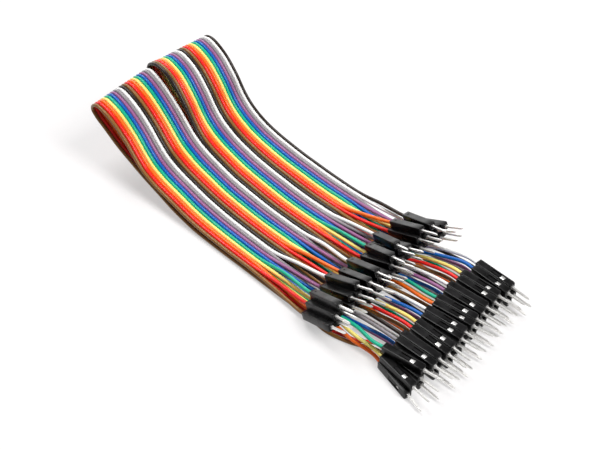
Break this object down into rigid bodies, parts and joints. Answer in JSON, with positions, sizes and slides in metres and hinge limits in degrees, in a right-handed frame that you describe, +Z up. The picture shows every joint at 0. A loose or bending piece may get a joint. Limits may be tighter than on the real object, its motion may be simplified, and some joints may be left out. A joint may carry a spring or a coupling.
{
  "type": "breadboard jumper wire",
  "caption": "Folded rainbow ribbon of bonded jumper wires with a black single-way pin connector on both ends of each wire, for joining points on a breadboard.",
  "frame": {"origin": "middle of the footprint, on the table that the cable lies on", "axes": "+X from the fold to the connectors, +Y across the ribbon to its last black wire, +Z up"},
  "size_m": [0.1562, 0.0577, 0.0318],
  "materials": {
    "brown_insulation": "smooth soft PVC, satin to glossy",
    "red_insulation": "smooth soft PVC, satin to glossy",
    "orange_insulation": "smooth soft PVC, satin to glossy",
    "yellow_insulation": "smooth soft PVC, satin to glossy",
    "green_insulation": "smooth soft PVC, satin to glossy",
    "blue_insulation": "smooth soft PVC, satin to glossy",
    "purple_insulation": "smooth soft PVC, satin to glossy",
    "grey_insulation": "smooth soft PVC, satin to glossy",
    "white_insulation": "smooth soft PVC, satin to glossy",
    "black_insulation": "smooth soft PVC, satin to glossy",
    "black_housing": "moulded nylon, satin",
    "plated_contact": "tin plated"
  },
  "bodies": {
    "root": {"wire_01_brown": "brown_insulation", "wire_02_red": "red_insulation", "wire_03_orange": "orange_insulation", "wire_04_yellow": "yellow_insulation", "wire_05_green": "green_insulation", "wire_06_blue": "blue_insulation", "wire_07_purple": "purple_insulation", "wire_08_grey": "grey_insulation", "wire_09_white": "white_insulation", "wire_10_black": "black_insulation", "wire_11_brown": "brown_insulation", "wire_12_red": "red_insulation", "wire_13_orange": "orange_insulation", "wire_14_yellow": "yellow_insulation", "wire_15_green": "green_insulation", "wire_16_blue": "blue_insulation", "wire_17_purple": "purple_insulation", "wire_18_grey": "grey_insulation", "wire_19_white": "white_insulation", "wire_20_black": "black_insulation", "wire_21_brown": "brown_insulation", "wire_22_red": "red_insulation", "wire_23_orange": "orange_insulation", "wire_24_yellow": "yellow_insulation", "wire_25_green": "green_insulation", "wire_26_blue": "blue_insulation", "wire_27_purple": "purple_insulation", "wire_28_grey": "grey_insulation", "wire_29_white": "white_insulation", "wire_30_black": "black_insulation", "wire_31_brown": "brown_insulation", "wire_32_red": "red_insulation", "wire_33_orange": "orange_insulation", "wire_34_yellow": "yellow_insulation", "wire_35_green": "green_insulation", "wire_36_blue": "blue_insulation", "wire_37_purple": "purple_insulation", "wire_38_grey": "grey_insulation", "wire_39_white": "white_insulation", "wire_40_black": "black_insulation", "upper_connectors_01_to_05": "black_housing", "upper_connectors_06_to_10": "black_housing", "upper_connectors_11_to_15": "black_housing", "upper_connectors_16_to_20": "black_housing", "upper_connectors_21_to_25": "black_housing", "upper_connectors_26_to_30": "black_housing", "upper_connectors_31_to_35": "black_housing", "upper_connectors_36_to_40": "black_housing", "lower_connectors_01_to_05": "black_housing", "lower_connectors_06_to_10": "black_housing", "lower_connectors_11_to_15": "black_housing", "lower_connectors_16_to_20": "black_housing", "lower_connectors_21_to_25": "black_housing", "lower_connectors_26_to_30": "black_housing", "lower_connectors_31_to_35": "black_housing", "lower_connectors_36_to_40": "black_housing"}
  },
  "joints": []
}
